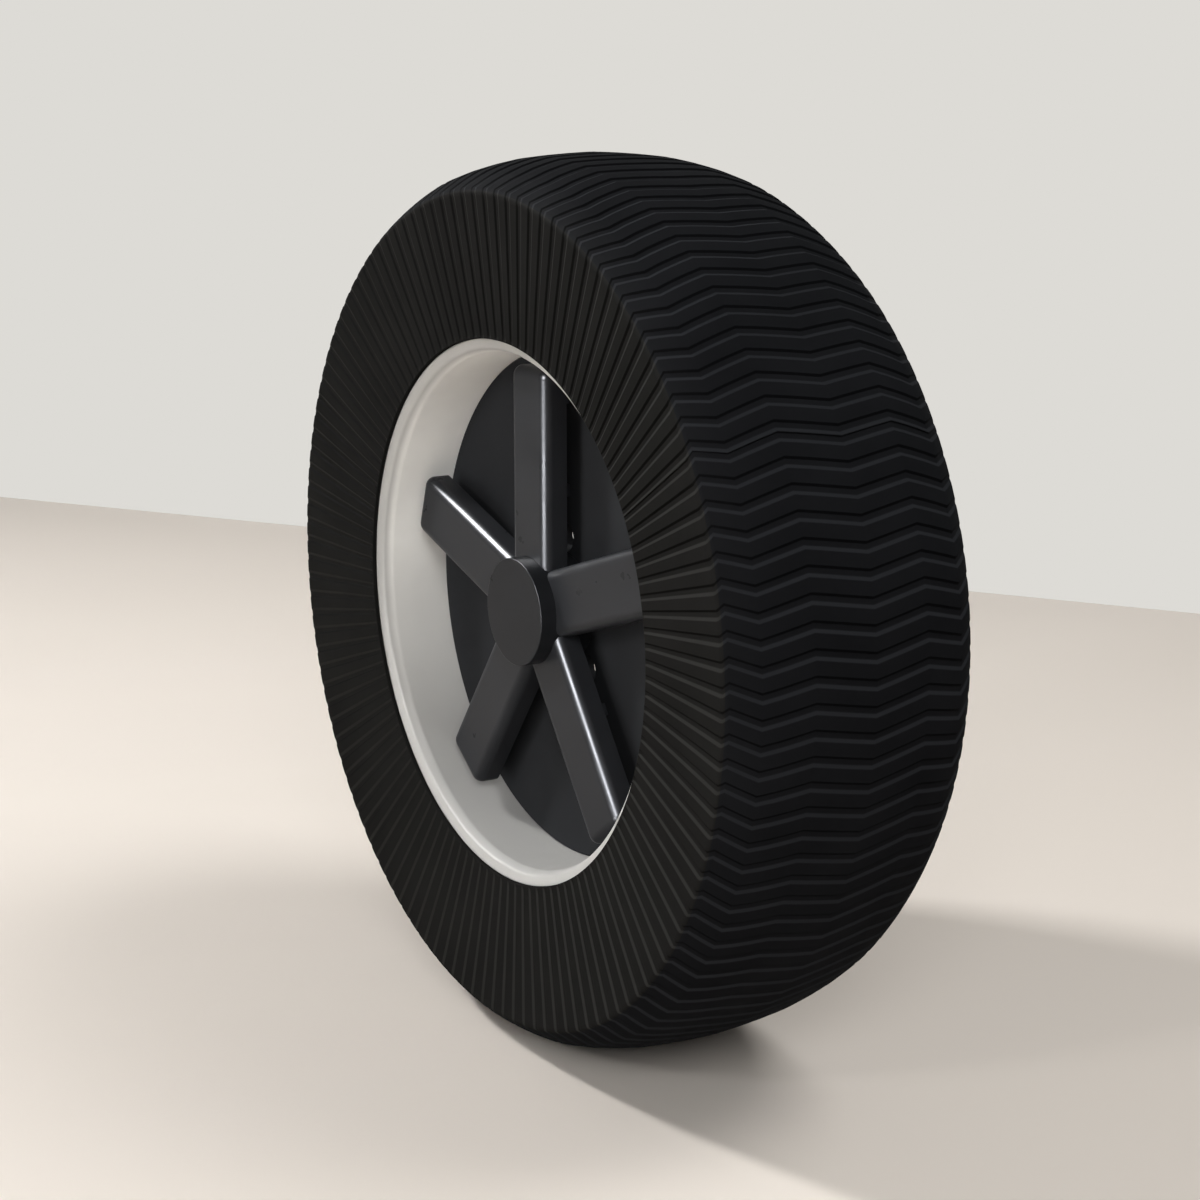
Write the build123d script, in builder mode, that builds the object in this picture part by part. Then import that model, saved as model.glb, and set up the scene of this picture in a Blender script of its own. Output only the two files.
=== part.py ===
from build123d import *
import os
from math import cos, hypot, radians, sin, tan

os.makedirs("parts", exist_ok=True)

# Winter tyre on its wheel, standing on its tread, in millimetres with +Z up. The origin is the middle
# of the wheel, the axle line is Y and the side with the spokes looks towards -Y.

# Tyre: the outer section from the middle of the tread, with the drop of each corner below the crown, to
# the lip, which stands clear of the rim's mouth and reaches out past the flange
crown_radius = 317.25
inner_rib_drop = 3.05
inner_rib_half_width = 43.3
outer_rib_drop = 11.45
outer_rib_half_width = 76.7
shoulder_drop = 25.05
shoulder_half_width = 95.9
lip_clearance = 0.6
lip_overhang = 3.3

# Tyre: zigzag grooves at an even pitch, with one narrow land where the two ends of the row meet
groove_count = 120
narrow_pitch = 1.255
pattern_start = 31.45
groove_depth = 2.0
groove_mouth = 1.16
groove_floor = 0.76
zigzag_swing = 1.39

# Tyre: the hidden side, and the flat spot that it stands on
bead_width = 20.0
bead_height = 15.6
sidewall_thickness = 7.0
tread_thickness = 12.0
flat_spot_depth = 1.5

# Rim barrel
rim_width = 152.4
bead_seat_radius = 190.1
seat_slope = 5.0
flange_height = 17.3
flange_thickness = 3.8
flange_foot = 6.0
mouth_flare = 9.0
mouth_facet = 2.6
seat_above_bore = 7.1
barrel_wall = 5.4
hump_height = 1.5
hump_width = 3.5
well_depth = 18.6
well_width = 22.0
well_centre = 27.0
outboard_ramp = 16.0
inboard_ramp = 12.0

# Wheel disc
disc_front = 27.5
disc_thickness = 7.5
pad_radius = 72.0
pad_height = 3.0
disc_skirt_thickness = 6.0
disc_skirt_length = 19.5
disc_edge_chamfer = 1.5
boss_radius = 34.0
boss_height = 13.5
centre_bore_radius = 28.55
weld_leg = 4.0
weld_arc = 40.0

# Wheel bolt holes, each with a cone for the bolt's head
bolt_count = 5
bolt_circle_radius = 50.0
bolt_hole_radius = 7.5
bolt_seat_radius = 11.0
bolt_seat_depth = 3.5

# Spoke bars
spoke_count = 5
first_spoke_angle = 90.0
spoke_end_gap = 10.7
spoke_width = 47.0
spoke_front = 58.2
spoke_depth = 18.0
spoke_edge_round = 7.0
spoke_corner_round = 8.0
spoke_wall = 3.5
post_length = 9.0
post_width = 14.0
inner_post_place = 84.0
outer_post_inset = 22.3
tab_length = 3.0
tab_width = 8.0
tab_end = 1.6
clip_size = 13.0
clip_thickness = 1.0

# Hub cap and the spring ring that holds it
cap_radius = 38.4
cap_front = 70.2
cap_thickness = 3.0
ring_width = 2.0
ring_height = 2.2
ring_place = 7.5
ring_opening = 24.0

# Valve
valve_angle = -18.0
valve_place = 40.0
valve_hole_radius = 5.65
valve_head_radius = 9.0
valve_head_thickness = 3.5
valve_collar_radius = 7.6
valve_collar_length = 3.0
valve_neck_radius = 4.9
valve_body_length = 24.0
stem_radius = 2.7
stem_thread_radius = 3.85
stem_thread_length = 9.0
core_radius = 1.8
core_wall = 0.7
core_length = 20.0
pin_radius = 0.6
pin_head_radius = 1.5
pin_head_length = 1.2
pin_stroke = 1.0
valve_cap_wall = 1.0
valve_cap_top = 1.4
cap_seal_thickness = 1.2

# Balance weights, in a row on their tape
weight_count = 4
weight_width = 19.0
weight_thickness = 3.6
weight_arc = 6.0
weight_spacing = 6.3
weight_row_angle = 200.0
tape_thickness = 1.0

# Clearances: between metals, beside rubber, and of pieces that slide together
metal_gap = 0.2
rubber_gap = 0.3
sliding_gap = 0.1

# Places that several pieces share
inner_rib_radius = crown_radius - inner_rib_drop
outer_rib_radius = crown_radius - outer_rib_drop
shoulder_radius = crown_radius - shoulder_drop
rim_half = rim_width / 2
flange_top_radius = bead_seat_radius + flange_height
flange_face = rim_half + flange_foot
barrel_bore_radius = bead_seat_radius - seat_above_bore
lip_radius = barrel_bore_radius + mouth_flare + lip_clearance
lip_half_width = flange_face + lip_overhang
seat_end = rim_half - bead_width
seat_end_radius = bead_seat_radius - bead_width * tan(radians(seat_slope))
barrel_top_radius = barrel_bore_radius + barrel_wall
well_bore_radius = bead_seat_radius - well_depth - barrel_wall
disc_radius = barrel_bore_radius - metal_gap
disc_back = disc_front - disc_thickness
mount_face = disc_back - pad_height
skirt_end = disc_front - disc_skirt_length
boss_front = disc_front + boss_height
spoke_reach = barrel_bore_radius - spoke_end_gap
spoke_back = spoke_front - spoke_depth
post_places = (inner_post_place, spoke_reach - outer_post_inset)
ring_centre = disc_front + ring_place
spoke_pitch = 360 / spoke_count
groove_pitch = (360 - narrow_pitch) / (groove_count - 1)
weld_side = (spoke_pitch - weld_arc) / 2
valve_turn = radians(valve_angle)
valve_foot = (barrel_bore_radius * cos(valve_turn), -valve_place, barrel_bore_radius * sin(valve_turn))
valve_inward = (-cos(valve_turn), 0, -sin(valve_turn))
outboard = Plane(origin=(0, 0, 0), x_dir=(1, 0, 0), z_dir=(0, -1, 0))


def section_plane(angle):
    """The plane through the axle line at an angle round it: X runs along the axle, Y outwards."""
    turn = radians(angle)
    return Plane(origin=(0, 0, 0), x_dir=(0, 1, 0), z_dir=(sin(turn), 0, -cos(turn)))


# Tyre. Each corner of the outer section is a radius, a place along Y, a phase of the zigzag and the
# share of the groove's depth there, which runs out to nothing at the edge of the hole.
half_section = [
    (lip_radius, lip_half_width, 0.5, 0.0),
    (shoulder_radius, shoulder_half_width, 0.5, 1.0),
    (outer_rib_radius, outer_rib_half_width, 1.0, 1.0),
    (inner_rib_radius, inner_rib_half_width, 0.0, 1.0),
]
outboard_half = [(radius, -place, phase, share) for radius, place, phase, share in half_section]
section_corners = outboard_half + [(crown_radius, 0.0, 1.0, 1.0)] + half_section[::-1]

# The direction in which the groove is cut at each corner, square to the line between its neighbours
cut_directions = [(0.0, -1.0)]
for before, after in zip(section_corners, section_corners[2:]):
    rise = after[0] - before[0]
    run = after[1] - before[1]
    cut_directions.append((run / hypot(rise, run), -rise / hypot(rise, run)))
cut_directions.append((0.0, 1.0))


def groove_edge(middle, half_mouth, half_floor, depth):
    """One zigzag line from bead to bead: an edge of a groove's mouth, or with a depth, of its floor."""
    points = []
    for (radius, place, phase, share), (outward, sideways) in zip(section_corners, cut_directions):
        offset = half_mouth + (half_floor - half_mouth) * share
        turn = radians(middle + offset - phase * zigzag_swing)
        reach = radius - depth * share * outward
        points.append((reach * cos(turn), place - depth * share * sideways, reach * sin(turn)))
    return points


def strip(first, second):
    """The flat faces between two zigzag lines. Where the lines meet at an end, the face is a triangle."""
    faces = []
    for corner in zip(first, first[1:], second[1:], second):
        points = [Vector(point) for point in corner]
        outline = [point for place, point in enumerate(points) if point != points[place - 1]]
        if len(outline) == 3:
            faces.append(Face(Wire.make_polygon(outline)))
        else:
            near_edge = Edge.make_line(points[0], points[1])
            far_edge = Edge.make_line(points[3], points[2])
            faces.append(Face.make_surface_from_curves(near_edge, far_edge))
    return faces


# Each groove has a wall, a floor and a wall, and then comes the land beside it
groove_lines = []
for number in range(groove_count):
    middle = pattern_start + number * groove_pitch
    for side in (-1, 1):
        mouth = side * groove_mouth / 2
        floor = side * groove_floor / 2
        mouth_line = groove_edge(middle, mouth, mouth, 0)
        floor_line = groove_edge(middle, mouth, floor, groove_depth)
        groove_lines += [mouth_line, floor_line] if side < 0 else [floor_line, mouth_line]
tyre_faces = []
for first, second in zip(groove_lines, groove_lines[1:] + groove_lines[:1]):
    tyre_faces += strip(first, second)

# The hidden side: the back of the lip, the slot for the rim's flange, the bead and the air chamber
chamber_half_width = shoulder_half_width - sidewall_thickness
hidden_half = [
    (lip_half_width, lip_radius - sliding_gap),
    (flange_face + rubber_gap, lip_radius - sliding_gap),
    (rim_half + flange_thickness + rubber_gap, flange_top_radius + rubber_gap),
    (rim_half - rubber_gap, flange_top_radius + rubber_gap),
    (rim_half - rubber_gap, bead_seat_radius + rubber_gap),
    (seat_end + rubber_gap, seat_end_radius + rubber_gap),
    (seat_end + rubber_gap, seat_end_radius + bead_height),
    (chamber_half_width, (lip_radius + shoulder_radius) / 2),
    (chamber_half_width, shoulder_radius - sidewall_thickness),
    (inner_rib_half_width, inner_rib_radius - tread_thickness),
]
with BuildLine(Plane.YZ) as hidden_section:
    Polyline(*[(-place, radius) for place, radius in hidden_half], *hidden_half[::-1])
hidden_side = Shell.revolve(hidden_section.wire(), 360, Axis.Y)
tyre_faces += hidden_side.faces()

# The two edges of the hole: a narrow ring between the ends of the lands and the hidden side
hole_circles = hidden_side.edges().filter_by(GeomType.CIRCLE).sort_by(Axis.Y)
lip_circles = [edge for edge in hole_circles if abs(abs(edge.center().Y) - lip_half_width) < sliding_gap]
for lip_circle, end in zip(lip_circles, (0, -1)):
    corners = []
    for number in range(groove_count):
        corners += [groove_lines[4 * number][end], groove_lines[4 * number + 3][end]]
    tyre_faces.append(Face(Wire.make_polygon(corners), [Wire([lip_circle])]))

with BuildPart() as tyre:
    add(Solid(Shell(tyre_faces)))
    with Locations((0, 0, -crown_radius)):
        Box(crown_radius, rim_width, 2 * flat_spot_depth, mode=Mode.SUBTRACT)
tyre.part.label = "tyre"
export_step(tyre.part, "parts/tyre.step")


# Rim barrel: a flange, a bead seat and a hump at each side, and the well inboard of the disc
seat_side = [
    (flange_face, barrel_bore_radius + mouth_flare),
    (rim_half + flange_thickness, flange_top_radius),
    (rim_half, flange_top_radius),
    (rim_half, bead_seat_radius),
    (seat_end, seat_end_radius),
    (seat_end - hump_height, seat_end_radius + hump_height),
    (seat_end - hump_height - hump_width, seat_end_radius + hump_height),
    (seat_end - 2 * hump_height - hump_width, barrel_top_radius),
]
mouth_side = [
    (flange_face - mouth_facet, barrel_bore_radius + mouth_facet),
    (flange_face - mouth_flare, barrel_bore_radius),
]
well_left = well_centre - well_width / 2
well_right = well_centre + well_width / 2
with BuildPart() as rim_barrel:
    with BuildSketch(Plane.YZ):
        with BuildLine():
            Polyline(
                *[(-place, radius) for place, radius in seat_side],
                (well_left - outboard_ramp, barrel_top_radius),
                (well_left, well_bore_radius + barrel_wall),
                (well_right, well_bore_radius + barrel_wall),
                (well_right + inboard_ramp, barrel_top_radius),
                *seat_side[::-1],
                *mouth_side,
                (well_right + inboard_ramp + barrel_wall / 2, barrel_bore_radius),
                (well_right + barrel_wall / 2, well_bore_radius),
                (well_left - barrel_wall / 2, well_bore_radius),
                (well_left - outboard_ramp - barrel_wall / 2, barrel_bore_radius),
                *[(-place, radius) for place, radius in mouth_side[::-1]],
                close=True,
            )
        make_face()
    revolve(axis=Axis.Y)
    with BuildSketch(Plane(origin=valve_foot, z_dir=valve_inward)):
        Circle(valve_hole_radius)
    extrude(amount=2 * barrel_wall, both=True, mode=Mode.SUBTRACT)
rim_barrel.part.label = "rim_barrel"
export_step(rim_barrel.part, "parts/rim_barrel.step")


# Wheel disc: plate, mounting pad, boss with a groove for the spring ring, and a skirt inside the barrel
ring_groove_half = ring_width / 2 + sliding_gap
ring_groove_depth = ring_height / 2 + metal_gap
with BuildPart() as wheel_disc:
    with BuildSketch(Plane.YZ):
        with BuildLine():
            Polyline(
                (-mount_face, centre_bore_radius),
                (-boss_front, centre_bore_radius),
                (-boss_front, boss_radius),
                (-ring_centre - ring_groove_half, boss_radius),
                (-ring_centre - ring_groove_half, boss_radius - ring_groove_depth),
                (-ring_centre + ring_groove_half, boss_radius - ring_groove_depth),
                (-ring_centre + ring_groove_half, boss_radius),
                (-disc_front, boss_radius),
                (-disc_front, disc_radius - disc_edge_chamfer),
                (-disc_front + disc_edge_chamfer, disc_radius),
                (-skirt_end, disc_radius),
                (-skirt_end, disc_radius - disc_skirt_thickness),
                (-disc_back, disc_radius - disc_skirt_thickness),
                (-disc_back, pad_radius),
                (-mount_face, pad_radius),
                close=True,
            )
        make_face()
    revolve(axis=Axis.Y)
    with Locations(outboard.offset(disc_front)):
        with PolarLocations(bolt_circle_radius, bolt_count, first_spoke_angle):
            CounterSinkHole(bolt_hole_radius, bolt_seat_radius, disc_front - mount_face, 60)
    with BuildSketch(outboard.offset(disc_front)):
        for place in post_places:
            with PolarLocations(place, spoke_count, first_spoke_angle):
                Rectangle(tab_length + 2 * metal_gap, tab_width + 2 * metal_gap)
    extrude(amount=-disc_thickness, mode=Mode.SUBTRACT)
wheel_disc.part.label = "wheel_disc"
export_step(wheel_disc.part, "parts/wheel_disc.step")

# Weld runs that hold the disc's skirt in the barrel, one behind each gap between two spokes
with BuildPart() as disc_welds:
    for number in range(spoke_count):
        with BuildSketch(section_plane(first_spoke_angle + number * spoke_pitch - weld_side)):
            with BuildLine():
                Polyline(
                    (-skirt_end, barrel_bore_radius),
                    (-skirt_end + weld_leg, barrel_bore_radius),
                    (-skirt_end, barrel_bore_radius - weld_leg),
                    close=True,
                )
            make_face()
        revolve(axis=Axis.Y, revolution_arc=weld_arc)
disc_welds.part.label = "disc_welds"
export_step(disc_welds.part, "parts/disc_welds.step")


# Spoke bars: hollow and open at the back, each over one wheel bolt, with posts that stand on the disc
# and flat tabs that pass through it
inner_end = cap_radius + metal_gap
pocket_start = inner_end + spoke_wall
pocket_end = spoke_reach - spoke_wall
half_share = radians(spoke_pitch / 2)
wedge_tip = sliding_gap / sin(half_share)
wedge_side = (spoke_reach - wedge_tip) * tan(half_share)
for number in range(spoke_count):
    turn = radians(first_spoke_angle + number * spoke_pitch)
    bar_plane = Plane(origin=(0, 0, 0), x_dir=(cos(turn), 0, sin(turn)), z_dir=(0, -1, 0))
    with BuildPart() as spoke:
        with BuildSketch(bar_plane.offset(spoke_back)) as bar_outline:
            with Locations((spoke_reach / 2, 0)):
                Rectangle(spoke_reach, spoke_width)
            fillet(bar_outline.vertices().group_by(Axis.X)[-1], spoke_corner_round)
        extrude(amount=spoke_depth)
        front_edges = spoke.faces().sort_by(Axis.Y)[0].edges()
        inner_edge = front_edges.sort_by_distance((0, -spoke_front, 0))[0]
        fillet([edge for edge in front_edges if edge != inner_edge], spoke_edge_round)
        with BuildSketch(bar_plane.offset(spoke_back)) as pocket:
            with Locations(((pocket_start + pocket_end) / 2, 0)):
                Rectangle(pocket_end - pocket_start, spoke_width - 2 * spoke_wall)
            fillet(pocket.vertices().group_by(Axis.X)[-1], spoke_corner_round - spoke_wall)
            chamfer(pocket.vertices().group_by(Axis.X)[0], spoke_corner_round)
        extrude(amount=spoke_depth - spoke_wall, mode=Mode.SUBTRACT)
        with BuildSketch(bar_plane.offset(spoke_back)):
            with BuildLine():
                Polyline((wedge_tip, 0), (spoke_reach, wedge_side), (spoke_reach, -wedge_side), close=True)
            make_face()
            Circle(inner_end, mode=Mode.SUBTRACT)
        extrude(amount=spoke_depth, mode=Mode.INTERSECT)
        with BuildSketch(bar_plane.offset(disc_front)):
            with Locations(*[(place, 0) for place in post_places]):
                Rectangle(post_length, post_width)
        extrude(amount=spoke_front - spoke_wall - disc_front)
        with BuildSketch(bar_plane.offset(disc_front)):
            with Locations(*[(place, 0) for place in post_places]):
                Rectangle(tab_length, tab_width)
        extrude(amount=-disc_thickness - clip_thickness - tab_end)
    spoke.part.label = f"spoke_{number + 1}"
    export_step(spoke.part, f"parts/spoke_{number + 1}.step")

# Spring clips behind the disc, one pushed onto each tab
with BuildPart() as spoke_clips:
    with BuildSketch(outboard.offset(disc_back)):
        for place in post_places:
            with PolarLocations(place, spoke_count, first_spoke_angle):
                Rectangle(clip_size, clip_size)
                Rectangle(tab_length + 2 * sliding_gap, tab_width + 2 * sliding_gap, mode=Mode.SUBTRACT)
    extrude(amount=-clip_thickness)
spoke_clips.part.label = "spoke_clips"
export_step(spoke_clips.part, "parts/spoke_clips.step")


# Hub cap: a cup over the boss, with a groove inside for the spring ring
cap_bore_radius = boss_radius + metal_gap
with BuildPart() as hub_cap:
    with BuildSketch(Plane.YZ):
        with BuildLine():
            Polyline(
                (-cap_front, 0),
                (-cap_front, cap_radius),
                (-disc_front, cap_radius),
                (-disc_front, cap_bore_radius),
                (-ring_centre + ring_groove_half, cap_bore_radius),
                (-ring_centre + ring_groove_half, boss_radius + ring_groove_depth),
                (-ring_centre - ring_groove_half, boss_radius + ring_groove_depth),
                (-ring_centre - ring_groove_half, cap_bore_radius),
                (-cap_front + cap_thickness, cap_bore_radius),
                (-cap_front + cap_thickness, 0),
                close=True,
            )
        make_face()
    revolve(axis=Axis.Y)
hub_cap.part.label = "hub_cap"
export_step(hub_cap.part, "parts/hub_cap.step")

# Spring ring, open on one side, half in the boss's groove and half in the cap's
with BuildPart() as hub_cap_ring:
    with BuildSketch(section_plane(first_spoke_angle - ring_opening / 2)):
        with Locations((-ring_centre, boss_radius)):
            Rectangle(ring_width, ring_height)
    revolve(axis=Axis.Y, revolution_arc=360 - ring_opening)
hub_cap_ring.part.label = "hub_cap_ring"
export_step(hub_cap_ring.part, "parts/hub_cap_ring.step")


# Valve. Its sections are drawn on a plane through its own axis, X towards the wheel's axle, from the
# barrel's bore
valve_plane = Plane(origin=valve_foot, x_dir=valve_inward, z_dir=(0, -1, 0))
valve_axis = Axis(valve_foot, valve_inward)
head_face = -barrel_wall - sliding_gap
head_end = head_face - valve_head_thickness
stem_end = valve_body_length + stem_thread_length
core_end = stem_end - pin_stroke
core_start = core_end - core_length
stem_hole_radius = core_radius + sliding_gap
thread_start = valve_body_length + sliding_gap
with BuildPart() as valve_body:
    with BuildSketch(valve_plane):
        with BuildLine():
            Polyline(
                (head_end, stem_radius + sliding_gap),
                (head_end, valve_head_radius),
                (head_face, valve_head_radius),
                (head_face, valve_hole_radius - sliding_gap),
                (rubber_gap, valve_hole_radius - sliding_gap),
                (rubber_gap, valve_collar_radius),
                (valve_collar_length, valve_collar_radius),
                (valve_body_length, valve_neck_radius),
                (valve_body_length, stem_radius + sliding_gap),
                close=True,
            )
        make_face()
    revolve(axis=valve_axis)
valve_body.part.label = "valve_body"
export_step(valve_body.part, "parts/valve_body.step")

with BuildPart() as valve_stem:
    with BuildSketch(valve_plane):
        with BuildLine():
            Polyline(
                (head_end, stem_hole_radius),
                (head_end, stem_radius),
                (thread_start, stem_radius),
                (thread_start, stem_thread_radius),
                (stem_end, stem_thread_radius),
                (stem_end, stem_hole_radius),
                close=True,
            )
        make_face()
    revolve(axis=valve_axis)
valve_stem.part.label = "valve_stem"
export_step(valve_stem.part, "parts/valve_stem.step")

with BuildPart() as valve_core:
    with BuildSketch(valve_plane):
        with Locations(((core_start + core_end) / 2, core_radius - core_wall / 2)):
            Rectangle(core_length, core_wall)
    revolve(axis=valve_axis)
valve_core.part.label = "valve_core"
export_step(valve_core.part, "parts/valve_core.step")

# The pin runs through the core, and its head closes the core's inner end
with BuildPart() as valve_pin:
    with BuildSketch(valve_plane):
        with BuildLine():
            Polyline(
                (core_start - sliding_gap - pin_head_length, 0),
                (core_start - sliding_gap - pin_head_length, pin_head_radius),
                (core_start - sliding_gap, pin_head_radius),
                (core_start - sliding_gap, pin_radius),
                (core_end + pin_stroke / 2, pin_radius),
                (core_end + pin_stroke / 2, 0),
                close=True,
            )
        make_face()
    revolve(axis=valve_axis)
valve_pin.part.label = "valve_pin"
export_step(valve_pin.part, "parts/valve_pin.step")

cap_mouth = thread_start + rubber_gap
cap_floor = stem_end + cap_seal_thickness + 2 * sliding_gap
cap_hole_radius = stem_thread_radius + sliding_gap
with BuildPart() as valve_cap:
    with BuildSketch(valve_plane):
        with BuildLine():
            Polyline(
                (cap_mouth, cap_hole_radius),
                (cap_mouth, cap_hole_radius + valve_cap_wall),
                (cap_floor + valve_cap_top, cap_hole_radius + valve_cap_wall),
                (cap_floor + valve_cap_top, 0),
                (cap_floor, 0),
                (cap_floor, cap_hole_radius),
                close=True,
            )
        make_face()
    revolve(axis=valve_axis)
valve_cap.part.label = "valve_cap"
export_step(valve_cap.part, "parts/valve_cap.step")

with BuildPart() as valve_cap_seal:
    with BuildSketch(valve_plane):
        with BuildLine():
            Polyline(
                (stem_end + sliding_gap, core_radius),
                (stem_end + sliding_gap, stem_thread_radius),
                (stem_end + sliding_gap + cap_seal_thickness, stem_thread_radius),
                (stem_end + sliding_gap + cap_seal_thickness, core_radius),
                close=True,
            )
        make_face()
    revolve(axis=valve_axis)
valve_cap_seal.part.label = "valve_cap_seal"
export_step(valve_cap_seal.part, "parts/valve_cap_seal.step")


# Balance weights on their tape, in the well behind the disc
row_arc = weight_count * weight_spacing
tape_outside = well_bore_radius - sliding_gap
with BuildPart() as weight_tape:
    with BuildSketch(section_plane(weight_row_angle)):
        with Locations((well_centre, tape_outside - tape_thickness / 2)):
            Rectangle(weight_width, tape_thickness)
    revolve(axis=Axis.Y, revolution_arc=row_arc)
weight_tape.part.label = "weight_tape"
export_step(weight_tape.part, "parts/weight_tape.step")

weight_outside = tape_outside - tape_thickness - sliding_gap
with BuildPart() as balance_weights:
    for number in range(weight_count):
        with BuildSketch(section_plane(weight_row_angle - number * weight_spacing)):
            with Locations((well_centre, weight_outside - weight_thickness / 2)):
                Rectangle(weight_width, weight_thickness)
        revolve(axis=Axis.Y, revolution_arc=weight_arc)
balance_weights.part.label = "balance_weights"
export_step(balance_weights.part, "parts/balance_weights.step")
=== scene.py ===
"""Winter tyre on its wheel: the looks, built in metres round the fixed frame of the wheel."""

from math import asin, cos, hypot, pi, radians, sin, tan

import bmesh
import bpy
from bpy.props import FloatProperty, FloatVectorProperty, IntProperty, PointerProperty
from mathutils import Matrix, Vector


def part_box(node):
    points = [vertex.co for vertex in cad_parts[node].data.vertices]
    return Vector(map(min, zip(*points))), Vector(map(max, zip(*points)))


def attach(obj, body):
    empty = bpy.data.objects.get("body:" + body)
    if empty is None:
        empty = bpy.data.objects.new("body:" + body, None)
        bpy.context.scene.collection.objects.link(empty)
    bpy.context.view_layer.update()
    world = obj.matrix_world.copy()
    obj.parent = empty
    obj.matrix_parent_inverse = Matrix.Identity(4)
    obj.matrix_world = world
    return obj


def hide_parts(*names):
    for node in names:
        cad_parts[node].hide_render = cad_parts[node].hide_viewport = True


bl_info = {
    "name": "Winter Tyre",
    "version": (1, 0, 0),
    "blender": (4, 5, 0),
    "location": "View3D > Sidebar > Winter Tyre",
    "description": "Builds a winter tyre with zigzag grooves on its dished wheel",
    "category": "Add Mesh",
}

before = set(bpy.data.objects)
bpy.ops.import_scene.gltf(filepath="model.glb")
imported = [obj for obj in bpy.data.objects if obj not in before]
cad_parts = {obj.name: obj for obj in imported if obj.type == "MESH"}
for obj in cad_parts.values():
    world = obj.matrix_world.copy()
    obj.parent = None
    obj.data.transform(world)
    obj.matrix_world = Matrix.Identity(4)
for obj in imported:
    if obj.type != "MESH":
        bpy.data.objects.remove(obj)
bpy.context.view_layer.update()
TYRE_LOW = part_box("tyre")[0]
CAP_LOW, CAP_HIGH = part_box("hub_cap")
BAR_LOW, BAR_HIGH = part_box("spoke_1")


class TyreSizes(bpy.types.PropertyGroup):
    """The tyre's outer section and its groove pattern."""

    lip_radius: FloatProperty(
        name="Lip Radius", description="Edge of the tyre's hole", default=0.1926, unit="LENGTH"
    )
    lip_half_width: FloatProperty(
        name="Lip Half Width", description="Place of the hole's edge along the axle",
        default=0.0855, unit="LENGTH",
    )
    shoulder_radius: FloatProperty(
        name="Shoulder Radius", description="Outer end of the flat sidewall",
        default=0.2922, unit="LENGTH",
    )
    shoulder_half_width: FloatProperty(
        name="Shoulder Half Width", description="Half of the tyre's width", default=0.0959, unit="LENGTH"
    )
    crown_radius: FloatProperty(
        name="Tread Radius", description="Outer radius at the middle of the tread",
        default=0.31725, unit="LENGTH",
    )
    groove_count: IntProperty(name="Grooves", description="Grooves round the tyre", default=120, min=8)
    narrow_pitch: FloatProperty(
        name="Narrow Pitch",
        description="Angle of the one narrow land where the row of grooves closes",
        default=radians(1.255),
        unit="ROTATION",
    )
    pattern_start: FloatProperty(
        name="Pattern Start", description="Angle of the first groove",
        default=radians(31.45), unit="ROTATION",
    )
    groove_depth: FloatProperty(
        name="Groove Depth", description="Depth of each groove in the tread",
        default=0.0010, unit="LENGTH",
    )
    side_depth: FloatProperty(
        name="Sidewall Depth", description="Depth of each groove in the sidewall",
        default=0.0010, unit="LENGTH",
    )
    zigzag_swing: FloatProperty(
        name="Zigzag Swing",
        description="How far a groove swings round the tyre from one kink to the next",
        default=radians(1.39),
        unit="ROTATION",
    )


class WheelSizes(bpy.types.PropertyGroup):
    """The wheel's barrel, bars and cap."""

    barrel_bore: FloatProperty(
        name="Barrel Bore", description="Inner radius of the rim barrel", default=0.183, unit="LENGTH"
    )
    bar_width: FloatProperty(
        name="Bar Width", description="Width of a spoke bar",
        default=BAR_HIGH.x - BAR_LOW.x, unit="LENGTH",
    )
    bar_reach: FloatProperty(
        name="Bar Reach", description="Outer end of a spoke bar, from the axle",
        default=BAR_HIGH.z, unit="LENGTH",
    )
    bar_round: FloatProperty(
        name="Bar Edge Round", description="Radius of the bar's front edges", default=0.007, unit="LENGTH"
    )
    bar_count: IntProperty(name="Bars", description="Spoke bars round the hub", default=5, min=3)
    cap_radius: FloatProperty(
        name="Cap Radius", description="Radius of the hub cap", default=CAP_HIGH.x, unit="LENGTH"
    )
    cap_edge: FloatProperty(
        name="Cap Edge", description="Radius of the cap's front edge", default=0.0008, unit="LENGTH"
    )


def colour(name, description, default):
    """A colour that the user can change."""
    return FloatVectorProperty(
        name=name, description=description, default=default, size=3, min=0, max=1, subtype="COLOR"
    )


class Finishes(bpy.types.PropertyGroup):
    """Colours of the rubber, the metals and the stage."""

    # The tread's darker, cooler tone and the sidewall's lighter, warmer tone are painted shade and painted
    # light on one rubber, toned apart for how light falls on each
    tread: colour("Tread Rubber", "Cool black of the tread", (0.0070, 0.0074, 0.0083))
    sidewall: colour("Sidewall Rubber", "Warm black of the sidewall", (0.0094, 0.0092, 0.0086))
    bars: colour("Bar Metal", "Dark silver of the bars and the cap", (0.0222, 0.0232, 0.0260))
    disc: colour("Disc Metal", "Dark grey of the disc", (0.0180, 0.0188, 0.0206))
    barrel: colour("Barrel Metal", "Pale silver of the rim barrel", (0.93, 0.915, 0.88))
    floor: colour("Floor", "Pale floor", (0.700, 0.644, 0.586))
    wall: colour("Backdrop", "Pale backdrop", (0.723, 0.708, 0.672))


class StageSizes(bpy.types.PropertyGroup):
    """The camera and the room that it looks into."""

    camera_place: FloatVectorProperty(
        name="Camera", description="Place of the camera",
        default=(1.30202, -0.81115, 0.34902), subtype="TRANSLATION",
    )
    camera_target: FloatVectorProperty(
        name="Look At", description="The point that the camera looks at",
        default=(-0.00015, 0.00157, 0.00016), subtype="TRANSLATION",
    )
    field_of_view: FloatProperty(
        name="Field of View", description="Angle across the frame",
        default=radians(30.76), unit="ROTATION",
    )
    room: FloatProperty(
        name="Room", description="Half the width of the floor", default=2.7, unit="LENGTH"
    )
    wall: FloatProperty(
        name="Wall", description="How far behind the wheel the floor meets the pale backdrop",
        default=1.527, unit="LENGTH",
    )


# Materials

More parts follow.
